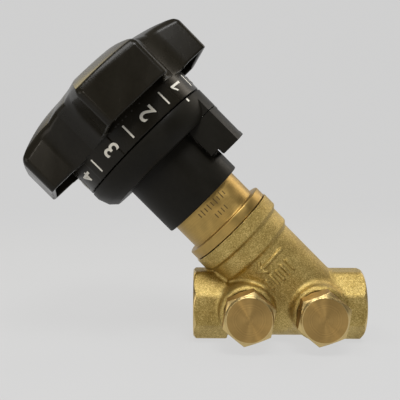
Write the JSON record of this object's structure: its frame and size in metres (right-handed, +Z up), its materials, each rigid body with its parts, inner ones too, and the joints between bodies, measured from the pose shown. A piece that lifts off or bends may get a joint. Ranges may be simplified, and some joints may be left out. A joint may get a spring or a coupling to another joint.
{
  "type": "balancing valve",
  "caption": "Inclined-stem balancing valve for heating pipes, threaded at both ends, with a lobed numbered handwheel, a turns indicator and plugged test ports.",
  "frame": {"origin": "centre of the left (outlet) pipe connection's end face, on the pipe's axis", "axes": "+X along the pipe from the left connection to the right one; +Z up; the stem leans back over the left connection at 45 degrees in the XZ plane; the test ports face -Y"},
  "size_m": [0.1291, 0.0828, 0.1213],
  "materials": {
    "cast_brass": "sand cast, satin",
    "turned_brass": "turned, fine lines",
    "black_matt_plastic": "semi-matt moulded",
    "black_gloss_plastic": "glossy moulded",
    "clear_plastic": "clear, polished",
    "ivory_plastic": "plain moulded",
    "black_rubber": "matt",
    "steel": "bright"
  },
  "bodies": {
    "valve": {"valve_body": "cast_brass", "bonnet": "turned_brass", "bonnet_o_ring": "black_rubber", "guide_pin": "steel", "shroud_clip": "steel", "indicator_shroud": "black_matt_plastic", "window_housing": "black_matt_plastic", "window_pane": "clear_plastic", "left_port_plug": "turned_brass", "left_port_seal": "black_rubber", "right_port_plug": "turned_brass", "right_port_seal": "black_rubber", "lower_thrust_washer": "ivory_plastic", "upper_thrust_washer": "ivory_plastic"},
    "turning_group": {"handwheel": "black_gloss_plastic", "handwheel_cap": "black_gloss_plastic", "handwheel_nut": "steel", "handwheel_washer": "steel", "indicator_drum": "black_matt_plastic", "spindle": "turned_brass", "spindle_circlip": "steel", "spindle_o_ring_1": "black_rubber", "spindle_o_ring_2": "black_rubber", "preset_screw": "turned_brass"},
    "disc": {"disc_carrier": "turned_brass", "disc_seal": "black_rubber", "disc_washer": "steel", "disc_nut": "turned_brass"},
    "turns_indicator": {"turns_slider": "ivory_plastic"}
  },
  "joints": [
    {"name": "handwheel_turn", "type": "hinge", "parent": "valve", "child": "turning_group", "pos_m": [0.0441, 0, 0], "axis": [-0.7071, 0, 0.7071], "range_deg": [-396, 1044]},
    {"name": "disc_lift", "type": "slide", "parent": "valve", "child": "disc", "axis": [-0.7071, 0, 0.7071], "range_m": [-0.00221, 0.00581]},
    {"name": "turns_slide", "type": "slide", "parent": "valve", "child": "turns_indicator", "axis": [-0.7071, 0, 0.7071], "range_m": [-0.00276, 0.00726]}
  ],
  "couplings": [
    {"joint": "disc_lift", "follows": "handwheel_turn", "m_per_rad": 0.00031831},
    {"joint": "turns_slide", "follows": "handwheel_turn", "m_per_rad": 0.00039789}
  ]
}
